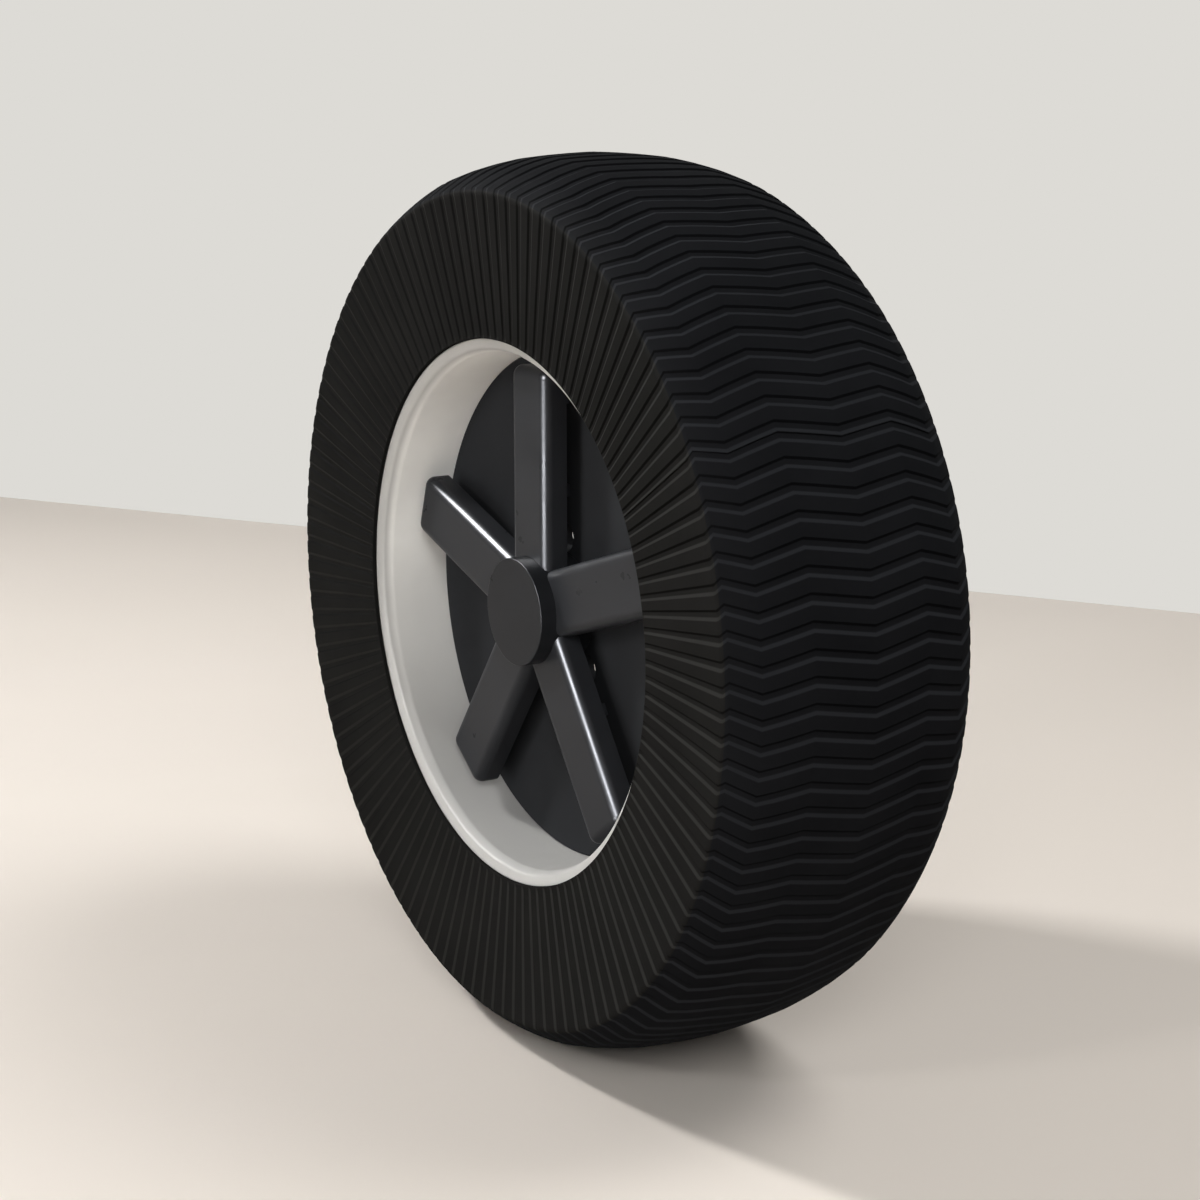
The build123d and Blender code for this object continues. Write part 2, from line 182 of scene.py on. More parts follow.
# How light each state of the rubber and of the barrel's paint is, against its own tone
CLEAN_RUBBER = 0.86
# Painted highlight on each groove's lower wall, which faces up, and painted shade on its upper wall, which
# faces down
PAINTED_HIGHLIGHT_RUBBER = 2.6
PAINTED_SHADE_RUBBER = 0.25
# A painted shadow low down on the barrel, and painted shade on its flanges, against the paint's own tone
PAINTED_SHADOW_PAINT = 0.42
PAINTED_SHADE_PAINT = 0.48
# How far the strongest painted highlight or painted shade in a groove covers the rubber's own colour
PAINTED_LIGHT_COVER = 0.8
# How far the clouds in a metal's colour and the smudges in its roughness spread round their own level
CLOUDS = (0.93, 1.08)
SMUDGES = (0.88, 1.15)
# How light the cap is against the bars
CAP_SHADE = 0.66
# Where the barrel's paint changes: how far along the axle the flanges' painted shade begins, and how high
# the painted shadow low down reaches
FLANGE_SHADE_SPAN = (0.0725, 0.0785)
PAINTED_SHADOW_SPAN = (-0.15, 0.02)


def new_material(name):
    """A material, its node tree and its shader, ready for its colours."""
    material = bpy.data.materials.new(name)
    material.use_nodes = True
    tree = material.node_tree
    return material, tree, tree.nodes["Principled BSDF"]


def feed(tree, socket, value):
    """Link another socket to this one, or set it to a plain value."""
    if isinstance(value, bpy.types.NodeSocket):
        tree.links.new(value, socket)
    else:
        socket.default_value = value


def maths(tree, operation, *values):
    """The result of one sum on sockets and plain numbers."""
    node = tree.nodes.new("ShaderNodeMath")
    node.operation = operation
    for place, value in enumerate(values):
        feed(tree, node.inputs[place], value)
    return node.outputs["Value"]


def noise(tree, scale, detail):
    """Noise on Object coordinates: scale is in grains to the metre."""
    coordinates = tree.nodes.new("ShaderNodeTexCoord")
    texture = tree.nodes.new("ShaderNodeTexNoise")
    texture.inputs["Scale"].default_value = scale
    texture.inputs["Detail"].default_value = detail
    tree.links.new(coordinates.outputs["Object"], texture.inputs["Vector"])
    return texture.outputs["Fac"]


def between(tree, factor, low, high, span=(0.3, 0.7)):
    """A number that runs from low to high as the factor crosses its span. Noise lies mostly within the
    plain span."""
    remap = tree.nodes.new("ShaderNodeMapRange")
    remap.inputs["From Min"].default_value = span[0]
    remap.inputs["From Max"].default_value = span[1]
    remap.inputs["To Min"].default_value = low
    remap.inputs["To Max"].default_value = high
    tree.links.new(factor, remap.inputs["Value"])
    return remap.outputs["Result"]


def blended(tree, factor, first, second):
    """A colour that runs from the first, a colour or a socket, to the second, a colour."""
    mix = tree.nodes.new("ShaderNodeMix")
    mix.data_type = "RGBA"
    feed(tree, mix.inputs["A"], (*first, 1) if isinstance(first, tuple) else first)
    mix.inputs["B"].default_value = (*second, 1)
    tree.links.new(factor, mix.inputs["Factor"])
    return mix.outputs["Result"]


def grain(tree, shader, height, strength, distance):
    """Bump from a height, on the shader's normal."""
    bump = tree.nodes.new("ShaderNodeBump")
    bump.inputs["Strength"].default_value = strength
    bump.inputs["Distance"].default_value = distance
    tree.links.new(height, bump.inputs["Height"])
    tree.links.new(bump.outputs["Normal"], shader.inputs["Normal"])


def shade(tone, amount):
    """A colour made lighter or darker."""
    return tuple(min(1.0, part * amount) for part in tone)


def rubber(name, tone, bloom, grooved=False):
    """Moulded rubber: a fine grain, faint clouds of bloom and an uneven sheen. On the grooved tyre the
    lower wall of each groove faces up and is painted paler as a painted highlight; its upper
    wall faces down and is painted darker as painted shade."""
    material, tree, shader = new_material(name)
    clouds = between(tree, noise(tree, scale=14, detail=4), low=0.0, high=1.0)
    tint = blended(tree, clouds, shade(tone, CLEAN_RUBBER), shade(tone, bloom))
    if grooved:
        edge = tree.nodes.new("ShaderNodeAttribute")
        edge.attribute_name = "edge"
        # Painted highlight on the grooves' lower walls, then painted shade on their upper walls
        painted_highlight = between(tree, edge.outputs["Fac"], low=0.0, high=PAINTED_LIGHT_COVER, span=(0.0, 1.0))
        tint = blended(tree, painted_highlight, tint, shade(tone, PAINTED_HIGHLIGHT_RUBBER))
        painted_shade = between(tree, edge.outputs["Fac"], low=0.0, high=PAINTED_LIGHT_COVER, span=(0.0, -1.0))
        tint = blended(tree, painted_shade, tint, shade(tone, PAINTED_SHADE_RUBBER))
    tree.links.new(tint, shader.inputs["Base Color"])
    sheen = between(tree, noise(tree, scale=70, detail=4), low=0.62, high=0.76)
    tree.links.new(sheen, shader.inputs["Roughness"])
    shader.inputs["Specular IOR Level"].default_value = 0.003
    grain(tree, shader, noise(tree, scale=1400, detail=2), strength=0.22, distance=0.00012)
    return material


def satin_metal(name, tone, rough, metallic=1.0, gloss=0.25):
    """Satin metal or metal paint: faint clouds in its colour and faint smudges in its sheen."""
    material, tree, shader = new_material(name)
    clouds = between(tree, noise(tree, scale=11, detail=3), low=0.0, high=1.0)
    tint = blended(tree, clouds, shade(tone, CLOUDS[0]), shade(tone, CLOUDS[1]))
    tree.links.new(tint, shader.inputs["Base Color"])
    smudges = noise(tree, scale=45, detail=4)
    smudges = between(tree, smudges, low=rough * SMUDGES[0], high=rough * SMUDGES[1])
    tree.links.new(smudges, shader.inputs["Roughness"])
    shader.inputs["Metallic"].default_value = metallic
    shader.inputs["Specular IOR Level"].default_value = gloss
    return material


def barrel_paint(name, tone):
    """Pale silver paint with painted shade: darker on the flanges, to hold their lit faces down to the
    shaded bore, and darker low down, a painted shadow."""
    material = satin_metal(name, tone, rough=0.5, metallic=0.0, gloss=0.05)
    tree = material.node_tree
    base = tree.nodes["Principled BSDF"].inputs["Base Color"]
    paint = base.links[0].from_socket
    coordinates = tree.nodes.new("ShaderNodeTexCoord")
    parts = tree.nodes.new("ShaderNodeSeparateXYZ")
    tree.links.new(coordinates.outputs["Object"], parts.inputs["Vector"])
    along = maths(tree, "ABSOLUTE", parts.outputs["Y"])
    # Painted shade on the flanges and a painted shadow low down
    flange = between(tree, along, low=0.0, high=1.0, span=FLANGE_SHADE_SPAN)
    low_shadow = between(tree, parts.outputs["Z"], low=1.0, high=0.0, span=PAINTED_SHADOW_SPAN)
    low_shadowed = blended(tree, low_shadow, paint, shade(tone, PAINTED_SHADOW_PAINT))
    tree.links.new(blended(tree, flange, low_shadowed, shade(tone, PAINTED_SHADE_PAINT)), base)
    return material


def plain_stage(name, tone):
    """Matte paint for the floor."""
    material, tree, shader = new_material(name)
    clouds = between(tree, noise(tree, scale=1.2, detail=2), low=0.0, high=1.0)
    tint = blended(tree, clouds, shade(tone, 0.985), shade(tone, 1.01))
    tree.links.new(tint, shader.inputs["Base Color"])
    shader.inputs["Roughness"].default_value = 0.9
    shader.inputs["Specular IOR Level"].default_value = 0.0
    return material


# Meshes

# A radius below this is on the axle
ON_AXLE = 1e-7
# A corner's round takes no more than this share of a side, in this many steps
MOST_OF_A_SIDE = 0.49
CORNER_STEPS = 5


def mesh_of(work, name):
    """The mesh that has been built, with its workspace freed."""
    mesh = bpy.data.meshes.new(name)
    work.to_mesh(mesh)
    work.free()
    return mesh


def placed(name, data):
    """A mesh, lamp or camera as an object in the scene."""
    piece = bpy.data.objects.new(name, data)
    bpy.context.scene.collection.objects.link(piece)
    return piece


def finished(name, mesh, material, node_names, sharp=40):
    """A piece on the wheel: smooth, with its hard edges kept, in place of the frame's own nodes."""
    piece = placed(name, mesh)
    mesh.shade_smooth()
    mesh.set_sharp_from_angle(angle=radians(sharp))
    even = piece.modifiers.new("even_normals", "WEIGHTED_NORMAL")
    even.keep_sharp = True
    if material:
        mesh.materials.append(material)
    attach(piece, "root")
    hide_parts(*node_names)
    return piece


def rounded(corners):
    """Round the corners of a closed outline. Each corner is (along, radius, size of its round)."""
    points = []
    for place, (along, radius, size) in enumerate(corners):
        here = Vector((along, radius))
        if size <= 0:
            points.append(here)
            continue
        before = Vector(corners[place - 1][:2]) - here
        after = Vector(corners[(place + 1) % len(corners)][:2]) - here
        turn = before.angle(after) / 2
        reach = min(size / tan(turn), before.length * MOST_OF_A_SIDE, after.length * MOST_OF_A_SIDE)
        start = here + before.normalized() * reach
        end = here + after.normalized() * reach
        for step in range(CORNER_STEPS + 1):
            share = step / CORNER_STEPS
            points.append(start.lerp(here, share).lerp(here.lerp(end, share), share))
    return points


def turned(name, corners, segments):
    """A closed mesh from an outline turned about the Y axis. Corners on the axis close it with a pole."""
    work = bmesh.new()
    rings = []
    for along, radius in rounded(corners):
        if radius < ON_AXLE:
            rings.append([work.verts.new((0, along, 0))])
            continue
        ring = []
        for step in range(segments):
            angle = 2 * pi * step / segments
            ring.append(work.verts.new((radius * cos(angle), along, radius * sin(angle))))
        rings.append(ring)
    for first, second in zip(rings, rings[1:] + rings[:1]):
        if len(first) == 1 and len(second) == 1:
            continue
        for step in range(segments):
            after = (step + 1) % segments
            around = [first[step % len(first)], first[after % len(first)]]
            around += [second[after % len(second)], second[step % len(second)]]
            work.faces.new(list(dict.fromkeys(around)))
    bmesh.ops.recalc_face_normals(work, faces=work.faces)
    return mesh_of(work, name)


def add_block(work, low, high):
    """Add a plain block between two corners to a mesh that is being built."""
    middle = (Vector(low) + Vector(high)) / 2
    size = Vector(high) - Vector(low)
    place = Matrix.Translation(middle) @ Matrix.Diagonal((*size, 1))
    bmesh.ops.create_cube(work, size=1.0, matrix=place)


# Node trees

def new_tree(name, kinds):
    """A node tree that gives geometry, the key of each named input, and the inputs' sockets."""
    tree = bpy.data.node_groups.new(name, "GeometryNodeTree")
    tree.interface.new_socket("Geometry", in_out="OUTPUT", socket_type="NodeSocketGeometry")
    keys = {}
    for label, kind in kinds.items():
        keys[label] = tree.interface.new_socket(label, in_out="INPUT", socket_type=kind).identifier
    return tree, keys, tree.nodes.new("NodeGroupInput").outputs


def through(tree, kind, geometry, **inputs):
    """The geometry after one more node. The node's other inputs are sockets or plain values."""
    node = tree.nodes.new(kind)
    tree.links.new(geometry, node.inputs["Geometry"])
    for name, value in inputs.items():
        feed(tree, node.inputs[name], value)
    return node.outputs["Geometry"]


def object_geometry(tree, piece):
    """The geometry of the object that a socket names."""
    node = tree.nodes.new("GeometryNodeObjectInfo")
    tree.links.new(piece, node.inputs["Object"])
    return node.outputs["Geometry"]


def about_axle(tree, angle):
    """A turn about the axle by the angle that a socket gives."""
    turn = tree.nodes.new("ShaderNodeCombineXYZ")
    tree.links.new(angle, turn.inputs["Y"])
    return turn.outputs["Vector"]


def copies(tree, piece, count, angle):
    """Copies of an object, each turned about the axle by its own angle."""
    line = tree.nodes.new("GeometryNodeMeshLine")
    line.inputs["Offset"].default_value = (0, 0, 0)
    tree.links.new(count, line.inputs["Count"])
    spread = tree.nodes.new("GeometryNodeInstanceOnPoints")
    tree.links.new(line.outputs["Mesh"], spread.inputs["Points"])
    tree.links.new(object_geometry(tree, piece), spread.inputs["Instance"])
    tree.links.new(about_axle(tree, angle), spread.inputs["Rotation"])
    return spread.outputs["Instances"]


def give(tree, geometry):
    """Make this geometry the tree's result."""
    result = tree.nodes.new("NodeGroupOutput")
    tree.links.new(geometry, result.inputs["Geometry"])


def grown(name, tree, keys, values):
    """The plain mesh that a node tree makes, with the modifier and its carrier gone."""
    carrier = placed(name, bpy.data.meshes.new(name + "_seed"))
    modifier = carrier.modifiers.new("grow", "NODES")
    modifier.node_group = tree
    for label, value in values.items():
        modifier[keys[label]] = value
    bpy.context.view_layer.update()
    graph = bpy.context.evaluated_depsgraph_get()
    mesh = bpy.data.meshes.new_from_object(carrier.evaluated_get(graph), depsgraph=graph)
    carrier.modifiers.clear()
    bpy.data.objects.remove(carrier)
    mesh.name = name
    return mesh


# Tyre

# The hidden side as (radius, along): the roof and the wall of the air chamber, the bead, and the slot for
# the rim's flange
HIDDEN_SIDE = (
    (0.3000, 0.0), (0.3015, 0.0433), (0.2960, 0.0700), (0.2852, 0.0889), (0.2424, 0.0880),
    (0.2040, 0.0600), (0.1960, 0.0565), (0.18865, 0.0565), (0.1904, 0.0759), (0.2077, 0.0759),
    (0.2077, 0.0803),
)
# A groove's cross-section as (degrees from its middle, share of the depth, painted light): a soft lower
# wall painted pale as a painted highlight, a floor, and a steep upper wall painted dark as painted shade
GROOVE_STEPS = (
    (-0.80, 0.0, 0.0), (-0.66, 0.14, 1.0), (-0.36, 0.86, 1.0), (-0.20, 1.0, 0.0),
    (0.30, 1.0, 0.0), (0.40, 0.90, -1.0), (0.60, 0.14, -1.0), (0.70, 0.0, 0.0),
)
# Turn of the narrowest strip of land that gets faces of its own
LEAST_STRIP = radians(0.04)
# The zigzag's phase on the sidewall and the hidden side, halfway through its swing
HALFWAY = 0.5
# Corners of neighbouring cells closer than this are one
MERGE_DISTANCE = 0.00002


def tyre_path(sizes):
    """The tyre's closed section as (radius, along, phase of the zigzag, depth of a groove), from lip to lip
    over the tread and back through the air chamber, and how many of its corners are on the outside."""
    crown = sizes.crown_radius
    side = sizes.side_depth
    deep = sizes.groove_depth
    lip = sizes.lip_radius
    lip_half = sizes.lip_half_width
    shoulder = sizes.shoulder_radius
    half_width = sizes.shoulder_half_width
    slope = (half_width - lip_half) / (shoulder - lip)
    # The lip, the sidewall, the shoulder's round, and the tread's facets up to beside its middle
    half = [
        (lip, lip_half - 0.0006, HALFWAY, 0.0),
        (lip + 0.0003, lip_half - 0.00015, HALFWAY, 0.0),
        (lip + 0.0009, lip_half + 0.0009 * slope, HALFWAY, 0.1 * side),
        (lip + 0.0026, lip_half + 0.0026 * slope, HALFWAY, 0.8 * side),
        (lip + 0.0055, lip_half + 0.0055 * slope, HALFWAY, side),
        ((lip + shoulder) / 2, (lip_half + half_width) / 2, HALFWAY, side),
        (shoulder - 0.0035, half_width - 0.0035 * slope, HALFWAY, side),
        (shoulder - 0.0008, half_width - 0.0003, 0.43, 0.5 * side),
        (shoulder + 0.0007, half_width - 0.0012, 0.27, 0.4 * side),
        (shoulder + 0.0027, half_width - 0.0030, 0.0, 0.4 * deep),
        (shoulder + 0.0068, half_width - 0.0083, 0.35, deep),
        (shoulder + 0.0105, half_width - 0.0138, 0.69, deep),
        (shoulder + 0.0136, half_width - 0.0192, 1.0, deep),
        (shoulder + 0.0171, half_width - 0.0300, 0.67, deep),
        (shoulder + 0.0198, half_width - 0.0412, 0.33, deep),
        (crown - 0.00305, 0.0433, 0.0, deep),
        (crown - 0.00165, 0.0290, 0.33, deep),
        (crown - 0.00065, 0.0145, 0.67, deep),
    ]
    hidden = [(radius, along, HALFWAY, 0.0) for radius, along in HIDDEN_SIDE]
    hidden.append((lip - 0.0001, 0.0825, HALFWAY, 0.0))
    path = [(radius, -along, phase, depth) for radius, along, phase, depth in half]
    path += [(crown, 0.0, 1.0, deep)] + half[::-1] + hidden[::-1]
    path += [(radius, -along, phase, depth) for radius, along, phase, depth in hidden[1:]]
    return path, 2 * len(half) + 1


def groove_cell(name, sizes, pitch):
    """One groove and the land above it, all the way round the tyre's closed section."""
    path, outer_count = tyre_path(sizes)
    columns = [(radians(place), share, painted_light) for place, share, painted_light in GROOVE_STEPS]
    land_end = pitch + columns[0][0]
    columns = [column for column in columns if column[0] < land_end - LEAST_STRIP]
    columns.append((land_end, 0.0, 0.0))
    work = bmesh.new()
    on_side = work.faces.layers.int.new("sidewall")
    edge = work.verts.layers.float.new("edge")
    rows = []
    for offset, share, painted_light in columns:
        row = []
        for place, (radius, along, phase, depth) in enumerate(path):
            before = path[place - 1]
            after = path[(place + 1) % len(path)]
            rise = after[0] - before[0]
            run = after[1] - before[1]
            size = hypot(rise, run)
            reach = radius - depth * share * run / size
            across = along + depth * share * rise / size
            angle = sizes.pattern_start + offset - phase * sizes.zigzag_swing
            corner = work.verts.new((reach * cos(angle), across, reach * sin(angle)))
            # The edge attribute carries the painted light: 1 for the painted highlight, -1 for the painted
            # shade
            corner[edge] = painted_light if depth > 0 else 0.0
            row.append(corner)
        rows.append(row)
    for first, second in zip(rows, rows[1:]):
        for place in range(len(path)):
            after = (place + 1) % len(path)
            face = work.faces.new((first[place], second[place], second[after], first[after]))
            radius = (path[place][0] + path[after][0]) / 2
            face[on_side] = int(place >= outer_count - 1 or radius < sizes.shoulder_radius)
    return placed(name, mesh_of(work, name))


def ring_tree():
    """A node tree that sets a cell round the axle, closes the ring with a last cell, gives both rubbers
    and flattens the foot, and the keys of its inputs."""
    tree, keys, given = new_tree("groove_ring", {
        "Cell": "NodeSocketObject",
        "Closing Cell": "NodeSocketObject",
        "Cells": "NodeSocketInt",
        "Pitch": "NodeSocketFloat",
        "Ground": "NodeSocketFloat",
        "Tread Rubber": "NodeSocketMaterial",
        "Sidewall Rubber": "NodeSocketMaterial",
    })
    index = tree.nodes.new("GeometryNodeInputIndex").outputs["Index"]
    angle = maths(tree, "MULTIPLY", maths(tree, "MULTIPLY", index, given["Pitch"]), -1)
    spread = copies(tree, given["Cell"], given["Cells"], angle)
    last_angle = maths(tree, "MULTIPLY", maths(tree, "MULTIPLY", given["Cells"], given["Pitch"]), -1)
    closing = object_geometry(tree, given["Closing Cell"])
    closing = through(tree, "GeometryNodeTransform", closing, Rotation=about_axle(tree, last_angle))
    joined = tree.nodes.new("GeometryNodeJoinGeometry")
    tree.links.new(spread, joined.inputs["Geometry"])
    tree.links.new(closing, joined.inputs["Geometry"])
    real = through(tree, "GeometryNodeRealizeInstances", joined.outputs["Geometry"])
    merged = through(tree, "GeometryNodeMergeByDistance", real, Distance=MERGE_DISTANCE)

    # The flat that the tyre stands on: nothing reaches below the ground
    position = tree.nodes.new("GeometryNodeInputPosition")
    parts = tree.nodes.new("ShaderNodeSeparateXYZ")
    tree.links.new(position.outputs["Position"], parts.inputs["Vector"])
    lifted = maths(tree, "MAXIMUM", parts.outputs["Z"], given["Ground"])
    whole = tree.nodes.new("ShaderNodeCombineXYZ")
    tree.links.new(parts.outputs["X"], whole.inputs["X"])
    tree.links.new(parts.outputs["Y"], whole.inputs["Y"])
    tree.links.new(lifted, whole.inputs["Z"])
    settled = through(tree, "GeometryNodeSetPosition", merged, Position=whole.outputs["Vector"])

    tread = through(tree, "GeometryNodeSetMaterial", settled, Material=given["Tread Rubber"])
    on_side = tree.nodes.new("GeometryNodeInputNamedAttribute")
    on_side.data_type = "BOOLEAN"
    on_side.inputs["Name"].default_value = "sidewall"
    both = through(
        tree, "GeometryNodeSetMaterial", tread,
        Selection=on_side.outputs["Attribute"], Material=given["Sidewall Rubber"],
    )
    give(tree, both)
    return tree, keys


class WHEEL_OT_tyre(bpy.types.Operator):
    """Build the tyre: one groove and its land, set round the axle"""

    bl_idname = "wheel.tyre"
    bl_label = "Tyre"

    def execute(self, context):
        sizes = context.scene.tyre_sizes
        finishes = context.scene.finishes
        pitch = (2 * pi - sizes.narrow_pitch) / (sizes.groove_count - 1)
        cell = groove_cell("groove_cell", sizes, pitch)
        closing = groove_cell("closing_cell", sizes, sizes.narrow_pitch)
        tree, keys = ring_tree()
        mesh = grown("tyre_rubber", tree, keys, {
            "Cell": cell,
            "Closing Cell": closing,
            "Cells": sizes.groove_count - 1,
            "Pitch": pitch,
            "Ground": TYRE_LOW.z,
            # The two rubbers differ by painted shade and painted light: the tread is toned darker and
            # cooler than the sidewall
            "Tread Rubber": rubber("tread_rubber", finishes.tread, bloom=1.18, grooved=True),
            "Sidewall Rubber": rubber("sidewall_rubber", finishes.sidewall, bloom=1.15, grooved=True),
        })
        bpy.data.objects.remove(cell)
        bpy.data.objects.remove(closing)
        finished("tyre_rubber", mesh, None, ["tyre"], sharp=50)
        return {"FINISHED"}


# Wheel

# The barrel's measures that don't follow its bore, its wall, and how far its mouths open at the lip
BARREL_WALL = 0.0054
FLANGE_RADIUS = 0.2074
FLANGE_FACE = 0.0762
BEAD_RADIUS = 0.1901
HUMP_FOOT = 0.18835
HUMP_TOP = 0.18985
WELL_INSIDE = 0.1661
WELL_OUTSIDE = 0.1715
MOUTH_FLARE = 0.0026
# A bar's measures behind its front
BAR_DEPTH = 0.018
BAR_WALL = 0.0035
BAR_CORNER = 0.008
POCKET_CORNER = 0.0045
LEAST_CORNER = 0.0006
# Extra loops of a bar's mesh, inside the front's round and before the back's edge, and the round's steps
FRONT_LOOP = 0.0006
BACK_LOOP = 0.0004
ROUND_STEPS = 8
# Clearances of a bar from the cap and from the next bar
CAP_CLEARANCE = 0.0002
BAR_CLEARANCE = 0.0001
# The posts behind a bar and the tabs on them: their places, and half their sizes along and across it
POST_PLACES = (0.084, 0.150)
POST_HALF = (0.0045, 0.007)
TAB_HALF = (0.0015, 0.004)
DISC_FRONT = -0.0275
# The cap's hollow back
CAP_FACE = 0.003
CAP_HOLLOW = 0.0342
CAP_BACK_EDGE = 0.0004


class WHEEL_OT_barrel(bpy.types.Operator):
    """Build the rim barrel with its rounded mouths"""

    bl_idname = "wheel.barrel"
    bl_label = "Rim Barrel"

    def execute(self, context):
        bore = context.scene.wheel_sizes.barrel_bore
        outside = bore + BARREL_WALL
        # The flange, the bead's place and the hump, alike on both sides, as (along, radius, size of round)
        seat_side = [
            (0.0822, bore + 0.009, 0.0008),
            (0.0800, FLANGE_RADIUS, 0.0012),
            (FLANGE_FACE, FLANGE_RADIUS, 0.0012),
            (FLANGE_FACE, BEAD_RADIUS, 0.003),
            (0.0562, HUMP_FOOT, 0.002),
            (0.0547, HUMP_TOP, 0.002),
            (0.0512, HUMP_TOP, 0.002),
            (0.0497, outside, 0.003),
        ]
        outline = [(-along, radius, size) for along, radius, size in seat_side]
        outline += [
            (0.0, outside, 0.01),
            (0.016, WELL_OUTSIDE, 0.008),
            (0.038, WELL_OUTSIDE, 0.008),
            (0.050, outside, 0.0),
        ]
        # The inboard hump stands at the end of the well's ramp, so its own inner foot is left out
        outline += seat_side[-2::-1]
        outline += [
            (0.0796, bore + MOUTH_FLARE, 0.004),
            (0.0732, bore, 0.008),
            (0.0527, bore, 0.006),
            (0.0407, WELL_INSIDE, 0.006),
            (0.0133, WELL_INSIDE, 0.006),
            (-0.0027, bore, 0.006),
            (-0.0732, bore, 0.008),
            (-0.0796, bore + MOUTH_FLARE, 0.004),
        ]
        mesh = turned("rim_barrel_metal", outline, segments=256)
        metal = barrel_paint("barrel_metal", context.scene.finishes.barrel)
        finished("rim_barrel_metal", mesh, metal, ["rim_barrel"])
        return {"FINISHED"}


def bar_outline(half_width, reach, corner, arc_radius, half_share):
    """The outline of a bar seen from the front: a hollow end round the cap, two sides and a rounded end.
    The half share is half of the bar's part of a full turn."""
    tip = BAR_CLEARANCE / sin(half_share)
    arc_turn = min(half_share - BAR_CLEARANCE / arc_radius, asin(half_width / arc_radius))
    points = []
    for step in range(2 * ROUND_STEPS + 1):
        angle = arc_turn * (step / ROUND_STEPS - 1)
        points.append((arc_radius * cos(angle), arc_radius * sin(angle)))
    meet = max(tip + half_width / tan(half_share), arc_radius * cos(arc_turn))
    points.append((meet, half_width))
    for turn_start, side in ((pi / 2, 1), (0.0, -1)):
        for step in range(ROUND_STEPS + 1):
            angle = turn_start - pi / 2 * step / ROUND_STEPS
            across = side * (half_width - corner)
            points.append((reach - corner + corner * cos(angle), across + corner * sin(angle)))
    points.append((meet, -half_width))
    return points


def bar_cell(sizes):
    """One hollow bar along X, with its two posts and tabs."""
    front = BAR_LOW.y
    back = front + BAR_DEPTH
    pocket_front = front + BAR_WALL
    half = sizes.bar_width / 2
    reach = sizes.bar_reach
    arc = sizes.cap_radius + CAP_CLEARANCE
    half_share = pi / sizes.bar_count
    edge = sizes.bar_round
    rings = [(edge + FRONT_LOOP, 0.0)]
    for step in range(ROUND_STEPS + 1):
        angle = pi / 2 * step / ROUND_STEPS
        rings.append((edge - edge * sin(angle), edge - edge * cos(angle)))
    layers = []
    for inset, drop in rings:
        corner = max(BAR_CORNER - inset, LEAST_CORNER)
        layers.append((bar_outline(half - inset, reach - inset, corner, arc, half_share), front + drop))
    whole = bar_outline(half, reach, BAR_CORNER, arc, half_share)
    pocket = bar_outline(half - BAR_WALL, reach - BAR_WALL, POCKET_CORNER, arc + BAR_WALL, half_share)
    layers += [(whole, back - BACK_LOOP), (whole, back), (pocket, back), (pocket, pocket_front)]
    work = bmesh.new()
    loops = []
    for outline, depth in layers:
        loops.append([work.verts.new((along, depth, across)) for along, across in outline])
    for first, second in zip(loops, loops[1:]):
        for place in range(len(first)):
            after = (place + 1) % len(first)
            work.faces.new((first[place], first[after], second[after], second[place]))
    work.faces.new(loops[0])
    work.faces.new(loops[-1])
    bmesh.ops.remove_doubles(work, verts=work.verts, dist=0.00001)
    bmesh.ops.dissolve_degenerate(work, edges=work.edges, dist=0.000005)
    bmesh.ops.recalc_face_normals(work, faces=work.faces)
    stages = ((POST_HALF, pocket_front, DISC_FRONT), (TAB_HALF, DISC_FRONT, BAR_HIGH.y))
    for place in POST_PLACES:
        for (thick, wide), start, end in stages:
            add_block(work, (place - thick, start, -wide), (place + thick, end, wide))
    return placed("bar_cell", mesh_of(work, "bar_cell"))


def spread_tree():
    """A node tree that sets copies of a piece evenly round the axle, and the keys of its inputs."""
    tree, keys, given = new_tree("bar_ring", {
        "Piece": "NodeSocketObject",
        "Copies": "NodeSocketInt",
        "First Angle": "NodeSocketFloat",
        "Finish": "NodeSocketMaterial",
    })
    index = tree.nodes.new("GeometryNodeInputIndex").outputs["Index"]
    pitch = maths(tree, "DIVIDE", -2 * pi, given["Copies"])
    angle = maths(tree, "SUBTRACT", maths(tree, "MULTIPLY", index, pitch), given["First Angle"])
    spread = copies(tree, given["Piece"], given["Copies"], angle)
    real = through(tree, "GeometryNodeRealizeInstances", spread)
    give(tree, through(tree, "GeometryNodeSetMaterial", real, Material=given["Finish"]))
    return tree, keys


class WHEEL_OT_bars(bpy.types.Operator):
    """Build the spoke bars: one hollow bar, set round the hub"""

    bl_idname = "wheel.bars"
    bl_label = "Spoke Bars"

    def execute(self, context):
        sizes = context.scene.wheel_sizes
        tone = context.scene.finishes.bars
        cell = bar_cell(sizes)
        tree, keys = spread_tree()
        mesh = grown("spoke_bars", tree, keys, {
            "Piece": cell,
            "Copies": sizes.bar_count,
            "First Angle": pi / 2,
            "Finish": satin_metal("bar_metal", tone, rough=0.31, metallic=0.16, gloss=0.05),
        })
        bpy.data.objects.remove(cell)
        names = [f"spoke_{number + 1}" for number in range(sizes.bar_count)]
        finished("spoke_bars", mesh, None, names, sharp=35)
        return {"FINISHED"}


